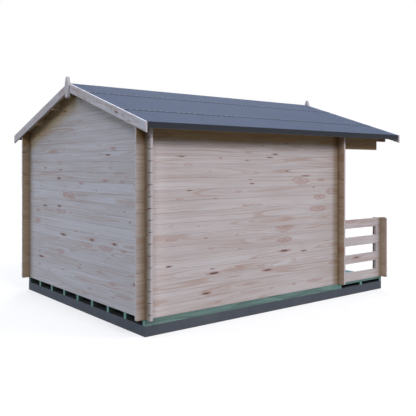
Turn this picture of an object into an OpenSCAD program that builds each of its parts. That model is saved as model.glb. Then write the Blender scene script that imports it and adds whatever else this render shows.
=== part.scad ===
// Log cabin with a covered porch: interlocking tongued and grooved logs on
// bearers and a plinth, under a felted gable roof.
// Millimetres. +Z up, the porch faces -Y, the rear gable faces +Y.
// The origin is the centre of the plinth's underside.

/* [Logs] */
// Thickness of a log
log_t = 28; // [24:1:44]
// Length of a log end past the wall it crosses
log_end = 100; // [60:5:140]
// Height of the tongue along the top of a log
tongue_h = 8; // [5:1:10]
// Thickness of the tongue
tongue_t = 9; // [6:1:12]
// Play of a tongue in its groove
groove_play = 0.5; // [0.3:0.1:1]
// Chamfer along the edges of a log's faces
log_edge = 2; // [1:0.5:4]
// Corner cut off the end of a log, above and below
log_end_cut = 8; // [4:1:12]
// Gap left between pieces that slot together
fit_gap = 0.3; // [0.2:0.1:0.5]

/* [Room and porch] */
// Width over the side walls
cabin_w = 2930; // [2600:10:3400]
// Length over the front and rear walls
room_l = 2930; // [2500:10:3400]
// Depth of the porch in front of the front wall
porch_l = 885; // [700:5:1200]
// Height of a side wall, over all its courses
wall_h = 1955; // [1850:5:2150]
// Number of courses of logs in a side wall
wall_course_count = 17; // [16:1:18]
// Number of courses from the deck to the top of the porch rail
rail_course_count = 7; // [5:2:9]
// Length of a short log inside the porch corner
post_inner_l = 90; // [60:5:140]
// Length by which the lower eaves log stops short of the upper one
eaves_log_step = 200; // [100:10:300]

/* [Base] */
// Height of the plinth
plinth_h = 105; // [80:5:150]
// Height of the bearers under the room
bearer_h = 66; // [50:1:80]
// Width of a bearer
bearer_w = 45; // [35:1:60]
// Number of bearers under the room
room_bearer_count = 9; // [5:1:10]
// Number of bearers across the porch
porch_bearer_count = 3; // [2:1:5]
// Thickness of the porch deck
deck_t = 28; // [20:1:32]
// Thickness of the room floor
floor_t = 19; // [15:1:28]
// Expansion gap between the room floor and the walls
floor_gap = 8; // [4:1:12]

/* [Roof] */
// Slope of the roof in degrees
roof_pitch = 18; // [15:0.5:21]
// Height of the roof's underside above the top course, at the wall's face
top_log_rise = 11; // [6:1:20]
// Thickness of the roof boards
board_t = 19; // [16:1:24]
// Reach of the eaves past the side walls, to the face of the fascia
eaves_out = 190; // [150:5:250]
// Reach of the roof boards past the end walls
verge_out = 105; // [105:5:160]
// Thickness of a fascia
fascia_t = 18; // [15:1:24]
// Height of a fascia
fascia_h = 58; // [50:1:80]
// Thickness of the roofing felt
felt_t = 3; // [2:0.5:4]
// Distance down the slope from the ridge to the edge of the ridge felt
ridge_felt_reach = 497; // [400:1:560]
// Distance down the slope from the ridge to the edge of the middle felt
middle_felt_reach = 1274; // [1100:1:1350]
// Overlap of one strip of felt on the next
felt_lap = 100; // [60:5:150]
// Width of a purlin
purlin_w = 44; // [38:1:58]
// Height of a purlin
purlin_h = 90; // [80:1:110]
// Number of purlins on each slope between ridge and eaves
purlin_count = 2; // [1:1:3]

/* [Gable trim] */
// Width of a bargeboard
bargeboard_w = 98; // [80:1:120]
// Thickness of a bargeboard
bargeboard_t = 20; // [16:1:24]
// Height of a bargeboard's top edge above the felt
bargeboard_up = 0; // [0:1:15]
// Reach of a bargeboard past the fascia
bargeboard_past = 20; // [10:1:30]
// Height of a finial
finial_h = 250; // [200:5:320]
// Width of a finial at its shoulders
finial_w = 88; // [60:1:100]
// Thickness of a finial, which stands on the end of the ridge purlin
finial_t = 38; // [28:1:45]
// Height of a finial's tip above the line of the bargeboards
finial_up = 70; // [40:1:100]
// Gap between a finial and the bargeboard on each side of it
finial_play = 12; // [4:1:20]

/* [Door] */
// Width of the doorway between the log ends
door_w = 1500; // [1300:10:1700]
// Width of a frame member's face
frame_w = 45; // [40:1:60]
// Depth of the door frame
frame_d = 70; // [60:1:90]
// Depth of the frame's slot for the log ends
frame_slot = 15; // [10:1:20]
// Thickness of a door leaf
leaf_t = 38; // [36:1:44]
// Gap round a door leaf
leaf_gap = 4; // [3:0.5:6]
// Width of a leaf's stiles and upper rails
stile_w = 95; // [80:1:110]
// Width of a leaf's bottom rail
bottom_rail_w = 150; // [120:5:180]
// Height of the lower panel in a leaf
panel_h = 560; // [450:10:650]
// Depth of the panel below the face of the leaf
panel_recess = 9; // [6:1:12]
// Thickness of the glass
glass_t = 4; // [3:1:6]
// Depth by which the glass enters the leaf
glass_bite = 8; // [6:1:12]
// Length of a hinge
hinge_l = 90; // [70:5:120]
// Radius of a hinge barrel
hinge_r = 7; // [5:1:9]
// Width of a hinge flap
flap_w = 28; // [20:1:32]
// Thickness of a hinge flap
flap_t = 2; // [1:0.5:3]
// Distance of a hinge from the end of its leaf
hinge_inset = 160; // [100:5:220]
// Height of the door handle above the sill
handle_z = 950; // [850:10:1050]
// Length of the door handle
handle_l = 115; // [90:5:140]
// Radius of the door handle
handle_r = 9; // [7:1:11]
// Reach of the door handle from the leaf
handle_reach = 42; // [35:1:55]
// Width of the handle's back plate
plate_w = 40; // [32:1:50]
// Height of the back plate above the handle
plate_above = 84; // [60:1:110]
// Height of the back plate below the handle
plate_below = 126; // [90:1:150]
// Thickness of the back plate
plate_t = 3; // [2:0.5:5]

/* [Hidden] */
$fn = 48;
// Overshoot of the shapes that cut
past = 50;
wall_z = plinth_h + bearer_h;
log_h = wall_h / wall_course_count;
// Depth of a notch, above or below
quarter = log_h / 4;
total_l = room_l + porch_l;
half_w = cabin_w / 2;
half_l = total_l / 2;
// Centre planes of the walls that cross
side_x = half_w - log_t / 2;
rear_y = half_l - log_t / 2;
front_face_y = half_l - room_l;
front_y = front_face_y + log_t / 2;
post_y = -half_l + log_t / 2;
room_crossings = [front_y, rear_y];
porch_crossings = [post_y, front_y, rear_y];
// Ends of the logs
end_x = half_w + log_end;
log_rear_y = half_l + log_end;
log_front_y = -half_l - log_end;
wall_front_y = front_face_y - log_end;
post_x = half_w - log_t - post_inner_l;
spacer_rear_y = post_y + log_t / 2 + post_inner_l;
// Roof lines, as heights over the centre line
slope = tan(roof_pitch);
ridge_z = wall_z + wall_h + top_log_rise + half_w * slope;
board_rise = board_t / cos(roof_pitch);
felt_rise = felt_t / cos(roof_pitch);
felt_x = half_w + eaves_out;
board_end_x = felt_x - fascia_t;
roof_half_l = half_l + verge_out;
// Distances of the purlins from the centre line, ridge first
purlin_x = [for (i = [0 : purlin_count]) i * half_w / (purlin_count + 1)];
// Run of the felt where it climbs over the strip below
felt_climb = 4 * felt_t;
trim_top = board_rise + 2 * felt_rise + bargeboard_up;
trim_drop = bargeboard_w / cos(roof_pitch);
// Shape of a finial, as shares of its height and of its width
finial_shoulder = 0.47;
finial_foot = 0.08;
finial_tip_share = 0.18;
finial_foot_share = 0.7;
// Faces on each curved side of a finial
finial_steps = 8;
// The top course: the lintel log in an end wall, the upper eaves log in a side wall
top_course = wall_course_count - 1;
gable_z = course_z(top_course + 0.5);
doorway_low_z = course_z(0.5);
doorway_high_z = course_z(top_course - 0.5);
frame_x = door_w / 2 + frame_slot;
frame_low_z = doorway_low_z - frame_slot;
frame_high_z = doorway_high_z + frame_slot;
leaf_low_z = frame_low_z + frame_w + leaf_gap;
leaf_high_z = frame_high_z - frame_w - leaf_gap;
leaf_outer_x = frame_x - frame_w - leaf_gap;
leaf_inner_x = leaf_gap / 2;
leaf_face_y = front_y - frame_d / 2;
leaf_w = leaf_outer_x - leaf_inner_x;
leaf_mid_y = leaf_face_y + leaf_t / 2;
glass_low_z = leaf_low_z + bottom_rail_w + panel_h + stile_w;
handle_x = leaf_inner_x + stile_w / 2;
sill_top_z = frame_low_z + frame_w;

// Height of the underside of a course; half courses are the end walls'
function course_z(n) = wall_z + n * log_h;

// Height of the roof at a distance from the centre line, above its underside
function roof_z(x, rise = 0) = ridge_z + rise - x * slope;

// Distance from the centre line at a distance down the slope
function slope_x(s) = s * cos(roof_pitch);

// ---------- logs ----------

// Cross-section of a log: chamfered faces, tongue above and groove below
function log_section(z0, z1, tongue, groove) =
    let (half = log_t / 2, in = half - log_edge,
         tt = tongue_t / 2, gt = tt + groove_play,
         gz = z0 + tongue_h + 2 * groove_play)
    concat(
        [[-in, z0]],
        groove ? [[-gt, z0], [-gt, gz], [gt, gz], [gt, z0]] : [],
        [[in, z0], [half, z0 + log_edge], [half, z1 - log_edge], [in, z1]],
        tongue ? [[tt, z1], [tt, z1 + tongue_h], [-tt, z1 + tongue_h], [-tt, z1]] : [],
        [[-in, z1], [-half, z1 - log_edge], [-half, z0 + log_edge]]);

// Triangle that takes a corner off the end of a log
module end_cut(x, z, to_x, to_z)
    polygon([[x - to_x, z - to_z], [x + to_x * log_end_cut, z - to_z],
        [x - to_x, z + to_z * log_end_cut]]);

// Side view of a log from x0 to x1, notched where it crosses other walls.
// crossings are the centres of the notches, tongues the spans that keep a tongue.
module log_side_view(x0, x1, z0, z1, crossings, tongues, low_notch, high_notch, cuts)
    difference() {
        union() {
            translate([x0, z0]) square([x1 - x0, z1 - z0]);
            for (t = tongues)
                translate([t[0], z0]) square([t[1] - t[0], z1 - z0 + tongue_h]);
        }
        for (c = crossings) {
            if (low_notch)
                translate([c - log_t / 2 - fit_gap, z0 - past])
                    square([log_t + 2 * fit_gap, past + quarter + fit_gap / 2]);
            if (high_notch)
                translate([c - log_t / 2 - fit_gap, z1 + fit_gap / 2 - quarter])
                    square([log_t + 2 * fit_gap, past + quarter]);
        }
        for (z = [z0, z1]) {
            if (cuts[0]) end_cut(x0, z, 1, z == z0 ? 1 : -1);
            if (cuts[1]) end_cut(x1, z, -1, z == z0 ? 1 : -1);
        }
    }

// A log along X: its section run along it, trimmed to its side view
module log_piece(x0, x1, z0, height, crossings, tongues = [], groove = true,
        low_notch = true, high_notch = true, cuts = [true, true]) {
    z1 = z0 + height - fit_gap;
    intersection() {
        translate([x0 - past, 0, 0]) rotate([90, 0, 90])
            linear_extrude(x1 - x0 + 2 * past)
                polygon(log_section(z0, z1, len(tongues) > 0, groove));
        rotate([90, 0, 0]) linear_extrude(log_t + 2 * past, center = true)
            log_side_view(x0, x1, z0, z1, crossings, tongues,
                low_notch, high_notch, cuts);
    }
}

// The same log along Y, in the right-hand side wall
module side_log(y0, y1, course, crossings, tongues = [], groove = true,
        low_notch = true, high_notch = true)
    translate([side_x, 0, 0]) rotate([0, 0, 90])
        log_piece(y0, y1, course_z(course), log_h, crossings, tongues, groove,
            low_notch, high_notch);

// A full-width end-wall log
module end_log(y, course, height, groove = true, low_notch = true,
        tongues = [[-end_x, end_x]])
    translate([0, y, 0])
        log_piece(-end_x, end_x, course_z(course), height, [-side_x, side_x],
            tongues, groove, low_notch);

// Everything above the underside of the roof boards, in X and Z
module over_roof_line()
    polygon([[0, roof_z(0) - fit_gap], [felt_x, roof_z(felt_x) - fit_gap],
        [felt_x, ridge_z + log_h], [-felt_x, ridge_z + log_h],
        [-felt_x, roof_z(felt_x) - fit_gap]]);

// ---------- base ----------

module base_plinth()
    color("darkslategray")
        translate([-half_w, -half_l, 0]) cube([cabin_w, total_l, plinth_h]);

module room_bearers()
    color("cadetblue")
        for (i = [0 : room_bearer_count - 1])
            translate([-half_w + i * (cabin_w - bearer_w) / (room_bearer_count - 1),
                    front_face_y, plinth_h])
                cube([bearer_w, room_l, bearer_h]);

module porch_bearers()
    color("cadetblue")
        for (i = [0 : porch_bearer_count - 1])
            translate([-half_w,
                    -half_l + i * (porch_l - fit_gap - bearer_w) / (porch_bearer_count - 1),
                    plinth_h])
                cube([cabin_w, bearer_w, bearer_h - deck_t]);

module porch_deck()
    color("cadetblue")
        translate([-half_w, -half_l, wall_z - deck_t])
            cube([cabin_w, porch_l - fit_gap, deck_t]);

module room_floor() {
    floor_w = cabin_w - 2 * (log_t + floor_gap);
    floor_l = room_l - 2 * (log_t + floor_gap);
    color("burlywood")
        translate([-floor_w / 2, front_face_y + log_t + floor_gap, wall_z])
            cube([floor_w, floor_l, floor_t]);
}

// ---------- end walls ----------

module rear_wall_logs()
    color("tan") {
        end_log(rear_y, 0, log_h / 2, groove = false, low_notch = false);
        for (n = [1 : top_course])
            end_log(rear_y, n - 0.5, log_h);
    }

// The half log under the door and the full log over it
module front_wall_full_logs()
    color("tan") {
        end_log(front_y, 0, log_h / 2, groove = false, low_notch = false,
            tongues = [[-end_x, -frame_x - fit_gap], [frame_x + fit_gap, end_x]]);
        end_log(front_y, top_course - 0.5, log_h);
    }

module front_wall_right_logs()
    color("tan")
        for (n = [1 : top_course - 1])
            translate([0, front_y, 0])
                log_piece(door_w / 2 + fit_gap, end_x, course_z(n - 0.5), log_h,
                    [side_x], [[frame_x + fit_gap, end_x]], cuts = [false, true]);

module front_wall_left_logs()
    mirror([1, 0, 0]) front_wall_right_logs();

// Section of a gable: both faces grooved at each joint between its logs
function gable_section(top_z) =
    let (half = log_t / 2, in = half - log_edge,
         joints = [for (z = [gable_z + log_h : log_h : top_z]) z],
         gt = tongue_t / 2 + groove_play, gz = gable_z + tongue_h + 2 * groove_play)
    concat(
        [[-in, gable_z], [-gt, gable_z], [-gt, gz], [gt, gz], [gt, gable_z],
         [in, gable_z], [half, gable_z + log_edge]],
        [for (z = joints) each [[half, z - log_edge], [in, z], [half, z + log_edge]]],
        [[half, top_z + log_h], [-half, top_z + log_h]],
        [for (i = [len(joints) - 1 : -1 : 0]) let (z = joints[i])
            each [[-half, z + log_edge], [-in, z], [-half, z - log_edge]]],
        [[-half, gable_z + log_edge]]);

// Outline of a gable with its corner notches and its pockets for the purlins
module gable_outline()
    difference() {
        polygon([[-end_x, gable_z], [end_x, gable_z], [end_x, roof_z(end_x) - fit_gap],
            [0, roof_z(0) - fit_gap], [-end_x, roof_z(end_x) - fit_gap]]);
        for (s = [-1, 1]) {
            translate([s * side_x - log_t / 2 - fit_gap, gable_z - past])
                square([log_t + 2 * fit_gap, past + quarter + fit_gap / 2]);
            end_cut(s * end_x, gable_z, -s, 1);
            for (x = purlin_x)
                translate([s * x - purlin_w / 2 - fit_gap,
                        roof_z(x) - purlin_h - fit_gap])
                    square([purlin_w + 2 * fit_gap, purlin_h + past]);
        }
    }

// A pre-assembled gable in the end wall whose centre plane is y
module gable(y)
    color("tan")
        translate([0, y, 0])
            intersection() {
                rotate([90, 0, 0]) linear_extrude(log_t + 2 * past, center = true)
                    gable_outline();
                translate([-end_x - past, 0, 0]) rotate([90, 0, 90])
                    linear_extrude(2 * (end_x + past))
                        polygon(gable_section(ridge_z));
            }

module rear_gable() gable(rear_y);

module front_gable() gable(front_y);

// ---------- side walls, rails and porch corners ----------

// Courses that end just past the front wall
module right_wall_logs()
    color("tan")
        for (n = [1 : top_course - 2])
            if (n % 2 == 1 || n > rail_course_count - 1)
                side_log(wall_front_y, log_rear_y, n, room_crossings,
                    [[wall_front_y, log_rear_y]]);

// Every second low course runs on to the porch corner as a rail
module right_rail_logs()
    color("tan")
        for (n = [0 : 2 : rail_course_count - 1])
            side_log(log_front_y, log_rear_y, n, porch_crossings,
                [[wall_front_y, log_rear_y]], groove = n > 0);

// The two top courses run on under the porch roof; the upper one is bevelled
module right_eaves_logs()
    color("tan")
        difference() {
            union() {
                side_log(log_front_y + eaves_log_step, log_rear_y, top_course - 1,
                    room_crossings, [[wall_front_y, log_rear_y]]);
                translate([side_x, 0, 0]) rotate([0, 0, 90])
                    upper_eaves_log();
            }
            along_roof(past) over_roof_line();
        }

// The top log reaches past its course, up to the roof boards
module upper_eaves_log() {
    z0 = course_z(top_course);
    intersection() {
        translate([log_front_y - past, 0, 0]) rotate([90, 0, 90])
            linear_extrude(2 * (log_rear_y + past))
                polygon(log_section(z0, z0 + 2 * log_h, false, true));
        rotate([90, 0, 0]) linear_extrude(log_t + 2 * past, center = true)
            difference() {
                translate([log_front_y, z0])
                    square([log_rear_y - log_front_y, 2 * log_h]);
                for (c = room_crossings) {
                    translate([c - log_t / 2 - fit_gap, z0 - past])
                        square([log_t + 2 * fit_gap, past + quarter + fit_gap / 2]);
                    translate([c - log_t / 2 - fit_gap, z0 + 3 * quarter - fit_gap / 2])
                        square([log_t + 2 * fit_gap, 2 * log_h]);
                }
                end_cut(log_front_y, z0, 1, 1);
                end_cut(log_rear_y, z0, -1, 1);
            }
    }
}

// Short logs that keep the rails apart at the porch corner
module right_rail_spacers()
    color("tan")
        for (n = [1 : 2 : rail_course_count - 2])
            side_log(log_front_y, spacer_rear_y, n, [post_y],
                [[log_front_y, spacer_rear_y]], groove = false);

// The stack of short logs that crosses the rails at the porch corner
module right_rail_post()
    color("tan")
        translate([0, post_y, 0]) {
            log_piece(post_x, end_x, course_z(0), log_h / 2, [side_x],
                [[post_x, end_x]], groove = false, low_notch = false);
            for (n = [1 : rail_course_count - 1])
                log_piece(post_x, end_x, course_z(n - 0.5), log_h, [side_x],
                    [[post_x, end_x]]);
            log_piece(post_x, end_x, course_z(rail_course_count - 0.5), log_h / 2,
                [side_x], high_notch = false);
        }

module left_wall_logs() mirror([1, 0, 0]) right_wall_logs();

module left_rail_logs() mirror([1, 0, 0]) right_rail_logs();

module left_eaves_logs() mirror([1, 0, 0]) right_eaves_logs();

module left_rail_spacers() mirror([1, 0, 0]) right_rail_spacers();

module left_rail_post() mirror([1, 0, 0]) right_rail_post();

// ---------- roof ----------

// A profile of the roof, drawn in X and Z, run from end to end of the roof
module along_roof(more = 0)
    translate([0, roof_half_l + more, 0]) rotate([90, 0, 0])
        linear_extrude(2 * (roof_half_l + more)) children();

// Section of a purlin whose top edge is bevelled to the roof boards
module purlin_section(x)
    difference() {
        translate([x - purlin_w / 2, roof_z(x) - purlin_h])
            square([purlin_w, purlin_h + past]);
        over_roof_line();
    }

module ridge_purlin()
    color("tan")
        along_roof() purlin_section(0);

module right_purlins()
    color("tan")
        for (i = [1 : purlin_count])
            along_roof() purlin_section(purlin_x[i]);

module left_purlins() mirror([1, 0, 0]) right_purlins();

module right_roof_boards()
    color("burlywood")
        along_roof()
            polygon([[fit_gap / 2, roof_z(fit_gap / 2)],
                [board_end_x, roof_z(board_end_x)],
                [board_end_x, roof_z(board_end_x, board_rise)],
                [fit_gap / 2, roof_z(fit_gap / 2, board_rise)]]);

module left_roof_boards() mirror([1, 0, 0]) right_roof_boards();

module right_fascia()
    color("tan")
        along_roof()
            polygon([[board_end_x, roof_z(felt_x, board_rise) - fascia_h],
                [felt_x, roof_z(felt_x, board_rise) - fascia_h],
                [felt_x, roof_z(felt_x, board_rise)],
                [board_end_x, roof_z(board_end_x, board_rise)]]);

module left_fascia() mirror([1, 0, 0]) right_fascia();

// Underside of a strip of felt that climbs over the strip below it
function felt_line(x0, x1, rise) =
    let (lap_x = x1 - slope_x(felt_lap), step_x = lap_x - felt_climb)
    [[x0, roof_z(x0, rise)], [step_x, roof_z(step_x, rise)],
     [lap_x, roof_z(lap_x, rise + felt_rise)], [x1, roof_z(x1, rise + felt_rise)]];

// A line, and the same line raised by the thickness of the felt
function felt_sheet(line) =
    concat(line, [for (i = [len(line) - 1 : -1 : 0]) line[i] + [0, felt_rise]]);

module right_eaves_felt() {
    x0 = slope_x(middle_felt_reach - felt_lap);
    x1 = felt_x + felt_t;
    color("slategray")
        along_roof()
            polygon([[x0, roof_z(x0, board_rise)], [felt_x, roof_z(felt_x, board_rise)],
                [felt_x, roof_z(felt_x, board_rise) - fascia_h],
                [x1, roof_z(felt_x, board_rise) - fascia_h],
                [x1, roof_z(x1, board_rise + felt_rise)],
                [x0, roof_z(x0, board_rise + felt_rise)]]);
}

module left_eaves_felt() mirror([1, 0, 0]) right_eaves_felt();

module right_middle_felt()
    color("slategray")
        along_roof()
            polygon(felt_sheet(felt_line(slope_x(ridge_felt_reach - felt_lap),
                slope_x(middle_felt_reach), board_rise)));

module left_middle_felt() mirror([1, 0, 0]) right_middle_felt();

module ridge_felt() {
    right = felt_line(0, slope_x(ridge_felt_reach), board_rise);
    left = [for (i = [len(right) - 1 : -1 : 1]) [-right[i][0], right[i][1]]];
    color("slategray")
        along_roof() polygon(felt_sheet(concat(left, right)));
}

// ---------- gable trim ----------

module rear_right_bargeboard() {
    x0 = finial_w / 2 + finial_play;
    x1 = felt_x + bargeboard_past;
    color("lightgray")
        translate([0, roof_half_l + bargeboard_t, 0]) rotate([90, 0, 0])
            linear_extrude(bargeboard_t)
                polygon([[x0, roof_z(x0, trim_top)], [x0, roof_z(x0, trim_top - trim_drop)],
                    [x1, roof_z(x1, trim_top - trim_drop)], [x1, roof_z(x1, trim_top)]]);
}

module rear_left_bargeboard() mirror([1, 0, 0]) rear_right_bargeboard();

module front_right_bargeboard() mirror([0, 1, 0]) rear_right_bargeboard();

module front_left_bargeboard() mirror([1, 0, 0]) front_right_bargeboard();

// A spear: its sides curve in to a blunt tip, over a foot that tapers to a point
module finial_outline() {
    tip_z = ridge_z + trim_top + finial_up;
    low_z = tip_z - finial_h;
    shoulder_z = low_z + finial_shoulder * finial_h;
    half = finial_w / 2;
    side = [for (i = [0 : finial_steps])
        let (curve = sin(90 * i / finial_steps))
        [half * (finial_tip_share + (1 - finial_tip_share) * curve),
         tip_z + (shoulder_z - tip_z) * i / finial_steps]];
    right = concat(side, [[half * finial_foot_share, low_z + finial_foot * finial_h]]);
    left = [for (i = [len(right) - 1 : -1 : 0]) [-right[i][0], right[i][1]]];
    polygon(concat(right, [[0, low_z]], left));
}

module rear_finial()
    color("lightgray")
        translate([0, roof_half_l + finial_t, 0]) rotate([90, 0, 0])
            linear_extrude(finial_t) finial_outline();

module front_finial() mirror([0, 1, 0]) rear_finial();

// ---------- door ----------

// The wall round the doorway, with the gap that the frame's slot leaves
module wall_round_doorway()
    difference() {
        translate([-frame_x - past, front_y - log_t / 2 - fit_gap, frame_low_z - past])
            cube([2 * (frame_x + past), log_t + 2 * fit_gap,
                frame_high_z - frame_low_z + 2 * past]);
        translate([-door_w / 2, front_y - log_t, doorway_low_z])
            cube([door_w, 2 * log_t, doorway_high_z - doorway_low_z]);
    }

// Two jambs with the sill and the head between them
module door_frame() {
    between = 2 * (frame_x - frame_w - fit_gap);
    color("tan")
        difference() {
            translate([0, front_y - frame_d / 2, 0]) {
                for (x = [-frame_x, frame_x - frame_w])
                    translate([x, 0, frame_low_z])
                        cube([frame_w, frame_d, frame_high_z - frame_low_z]);
                for (z = [frame_low_z, frame_high_z - frame_w])
                    translate([-between / 2, 0, z]) cube([between, frame_d, frame_w]);
            }
            wall_round_doorway();
        }
}

// Outline of the glazed opening in the right-hand leaf, in X and Z
module glazed_opening(grow = 0)
    translate([leaf_inner_x + stile_w - grow, glass_low_z - grow])
        square([leaf_w - 2 * stile_w + 2 * grow,
            leaf_high_z - stile_w - glass_low_z + 2 * grow]);

// A board drawn in X and Z that fills y0 to y1
module upright(y0, y1)
    translate([0, y1, 0]) rotate([90, 0, 0]) linear_extrude(y1 - y0) children();

// A leaf with a raised frame, a recessed lower panel and a glazed opening
module right_door() {
    y0 = leaf_face_y;
    y1 = leaf_face_y + leaf_t;
    color("tan")
        difference() {
            upright(y0, y1)
                translate([leaf_inner_x, leaf_low_z])
                    square([leaf_w, leaf_high_z - leaf_low_z]);
            upright(y0 - past, y1 + past) glazed_opening();
            upright(leaf_mid_y - glass_t / 2 - fit_gap,
                    leaf_mid_y + glass_t / 2 + fit_gap)
                glazed_opening(glass_bite + fit_gap);
            for (y = [y0 - past, y1 - panel_recess])
                upright(y, y + past + panel_recess)
                    translate([leaf_inner_x + stile_w, leaf_low_z + bottom_rail_w])
                        square([leaf_w - 2 * stile_w, panel_h]);
        }
}

module left_door() mirror([1, 0, 0]) right_door();

// One pane in each leaf
module door_glass()
    color("lightblue", 0.4)
        for (side = [0, 1]) mirror([side, 0, 0])
            upright(leaf_mid_y - glass_t / 2, leaf_mid_y + glass_t / 2)
                glazed_opening(glass_bite);

// Three hinges on the outer edge of each leaf: a barrel on a pair of flaps
module door_hinges() {
    low_z = leaf_low_z + hinge_inset;
    high_z = leaf_high_z - hinge_inset - hinge_l;
    color("silver")
        for (side = [0, 1]) mirror([side, 0, 0])
            for (z = [low_z, (low_z + high_z) / 2, high_z])
                translate([leaf_outer_x + leaf_gap / 2, leaf_face_y, z]) {
                    translate([0, -hinge_r, 0]) cylinder(h = hinge_l, r = hinge_r);
                    translate([-flap_w, -flap_t, 0])
                        cube([2 * flap_w, flap_t, hinge_l]);
                }
}

// A lever on a back plate, outside and inside the right-hand leaf
module door_handle()
    color("silver")
        for (inside = [0, 1])
            translate([handle_x, leaf_mid_y, sill_top_z + handle_z])
                mirror([0, 1 - inside, 0])
                    translate([0, leaf_t / 2, 0]) {
                        translate([-plate_w / 2, 0, -plate_below])
                            cube([plate_w, plate_t, plate_below + plate_above]);
                        rotate([-90, 0, 0]) cylinder(h = handle_reach, r = handle_r);
                        translate([0, handle_reach, 0]) rotate([0, 90, 0])
                            cylinder(h = handle_l, r = handle_r);
                    }

base_plinth();
room_bearers();
porch_bearers();
room_floor();
porch_deck();
rear_wall_logs();
rear_gable();
front_wall_full_logs();
front_wall_left_logs();
front_wall_right_logs();
front_gable();
left_wall_logs();
left_rail_logs();
left_eaves_logs();
right_wall_logs();
right_rail_logs();
right_eaves_logs();
left_rail_spacers();
left_rail_post();
right_rail_spacers();
right_rail_post();
ridge_purlin();
left_purlins();
right_purlins();
left_roof_boards();
right_roof_boards();
left_fascia();
right_fascia();
left_eaves_felt();
right_eaves_felt();
left_middle_felt();
right_middle_felt();
ridge_felt();
rear_left_bargeboard();
rear_right_bargeboard();
front_left_bargeboard();
front_right_bargeboard();
rear_finial();
front_finial();
door_frame();
left_door();
right_door();
door_glass();
door_hinges();
door_handle();
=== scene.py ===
"""Looks of the log cabin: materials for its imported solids, and the boards, mouldings and
fixings that they leave out."""

import math
import random
from types import SimpleNamespace

import bmesh
import bpy
from mathutils import Matrix, Vector
from mathutils.bvhtree import BVHTree


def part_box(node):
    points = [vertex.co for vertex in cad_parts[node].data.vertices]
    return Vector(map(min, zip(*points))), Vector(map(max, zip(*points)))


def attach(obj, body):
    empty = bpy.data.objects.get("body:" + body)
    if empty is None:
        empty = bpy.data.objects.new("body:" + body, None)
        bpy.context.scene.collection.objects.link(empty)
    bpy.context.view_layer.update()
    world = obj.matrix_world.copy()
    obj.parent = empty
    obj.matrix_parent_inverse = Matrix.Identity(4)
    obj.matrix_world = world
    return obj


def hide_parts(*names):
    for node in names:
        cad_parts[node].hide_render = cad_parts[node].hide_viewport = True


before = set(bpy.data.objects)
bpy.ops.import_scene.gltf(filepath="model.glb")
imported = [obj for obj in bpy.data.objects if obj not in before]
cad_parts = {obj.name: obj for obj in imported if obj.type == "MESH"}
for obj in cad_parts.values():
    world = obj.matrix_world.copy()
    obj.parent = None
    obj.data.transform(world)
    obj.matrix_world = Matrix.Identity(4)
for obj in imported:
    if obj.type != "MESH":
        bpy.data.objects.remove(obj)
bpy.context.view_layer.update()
chance = random.Random(7)

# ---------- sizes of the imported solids, in metres ----------

PLINTH_LOW, PLINTH_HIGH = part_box("base_plinth")
HALF_WIDTH = PLINTH_HIGH.x
REAR_FACE_Y = PLINTH_HIGH.y
FRONT_FACE_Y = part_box("porch_deck")[1].y
POST_FACE_Y = PLINTH_LOW.y
WALL_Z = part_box("rear_wall_logs")[0].z
LOG_THICKNESS = 0.028
LOG_HEIGHT = 0.115
BOARD_THICKNESS = 0.019
ROOF_PITCH = math.radians(18)
ROOF_HIGH_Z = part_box("right_roof_boards")[1].z
ROOF_UNDER_Z = ROOF_HIGH_Z - BOARD_THICKNESS / math.cos(ROOF_PITCH)
LAPS_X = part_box("ridge_felt")[1].x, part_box("right_middle_felt")[1].x
HALF_LOG = LOG_THICKNESS / 2


def linear(red, green, blue):
    """A colour written as display values from 0 to 255, as Blender's linear colour."""
    def channel(value):
        value /= 255
        return value / 12.92 if value <= 0.04045 else ((value + 0.055) / 1.055) ** 2.4

    return channel(red), channel(green), channel(blue), 1.0


# ---------- node trees ----------


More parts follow.
